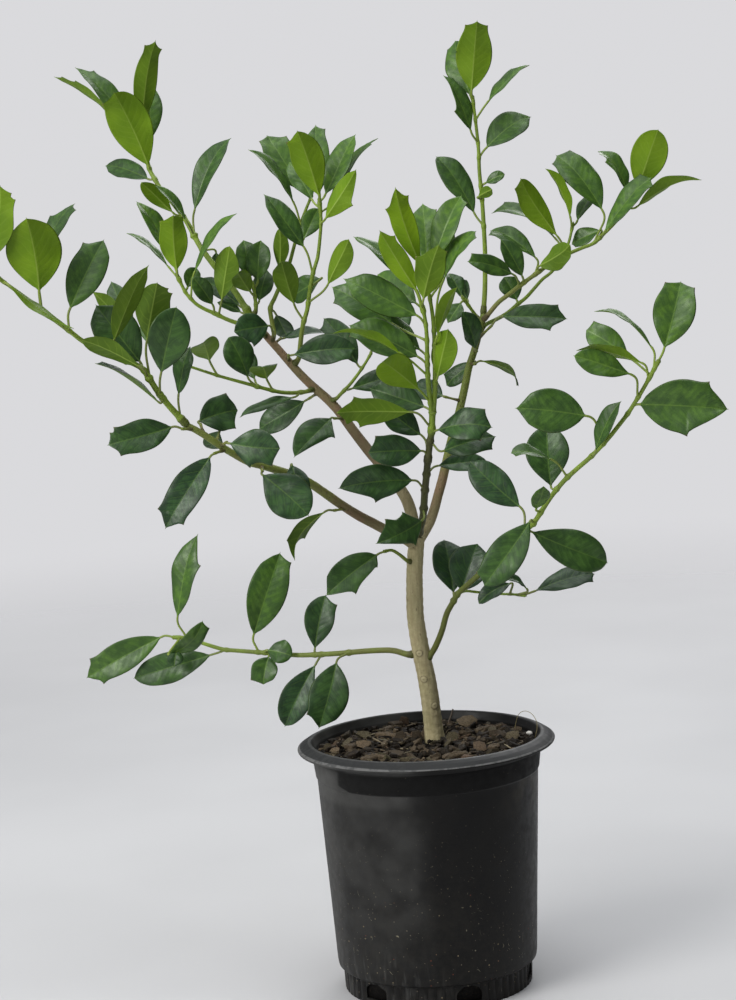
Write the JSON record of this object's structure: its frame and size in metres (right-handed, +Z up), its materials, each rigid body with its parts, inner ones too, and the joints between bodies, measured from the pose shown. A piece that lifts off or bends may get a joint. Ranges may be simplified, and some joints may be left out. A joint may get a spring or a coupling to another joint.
{
  "type": "potted holly shrub",
  "caption": "Young spiny-leaved holly on a forked trunk, standing in bark mix in a round black nursery pot with a rolled lip and drain arches.",
  "frame": {"origin": "centre of the pot's flat bottom, on the surface that it stands on", "axes": "+Z up along the pot's axis, -Y towards the front from which the plant was charted, +X to the viewer's right"},
  "size_m": [0.5602, 0.2941, 0.7354],
  "materials": {
    "pot_plastic": "black, dusty, softly shiny",
    "bark_mix": "damp crumbled bark",
    "bark_chip": "rough bark",
    "stem_bark": "thin grey-tan bark",
    "holly_leaf": "leathery, glossy above and matte below"
  },
  "bodies": {
    "root": {"nursery_pot": "pot_plastic", "potting_mix": "bark_mix", "bark_chip_1": "bark_chip", "bark_chip_2": "bark_chip", "bark_chip_3": "bark_chip", "bark_chip_4": "bark_chip", "bark_chip_5": "bark_chip", "bark_chip_6": "bark_chip", "bark_chip_7": "bark_chip", "trunk": "stem_bark", "top_leader": "holly_leaf", "right_upper_shoot": "holly_leaf", "right_mid_shoot": "holly_leaf", "limb_node_twig": "holly_leaf", "right_limb_low_leaf": "holly_leaf", "right_limb_front_leaf": "holly_leaf", "right_limb_arched_leaf": "holly_leaf", "right_limb_grey_leaf": "holly_leaf", "right_limb_side_leaf": "holly_leaf", "centre_shoot": "holly_leaf", "upper_limb_spiny_leaf": "holly_leaf", "upper_limb_low_leaf": "holly_leaf", "upper_limb_back_leaf": "holly_leaf", "upper_limb_dark_leaf": "holly_leaf", "upper_limb_front_leaf": "holly_leaf", "upper_limb_twig": "holly_leaf", "mid_left_shoot": "holly_leaf", "left_leader": "holly_leaf", "left_side_shoot": "holly_leaf", "left_short_shoot": "holly_leaf", "left_inner_shoot": "holly_leaf", "front_left_shoot": "holly_leaf", "lower_limb_end_leaf": "holly_leaf", "lower_limb_upper_leaf": "holly_leaf", "lower_limb_back_leaf": "holly_leaf", "lower_limb_hanging_leaf": "holly_leaf", "lower_limb_right_leaf": "holly_leaf", "lower_limb_glossy_leaf": "holly_leaf", "lower_limb_small_leaf": "holly_leaf", "lower_limb_curled_leaf": "holly_leaf", "far_left_shoot": "holly_leaf", "trunk_twig": "holly_leaf", "low_left_branch": "holly_leaf", "low_right_branch": "holly_leaf"}
  },
  "joints": []
}
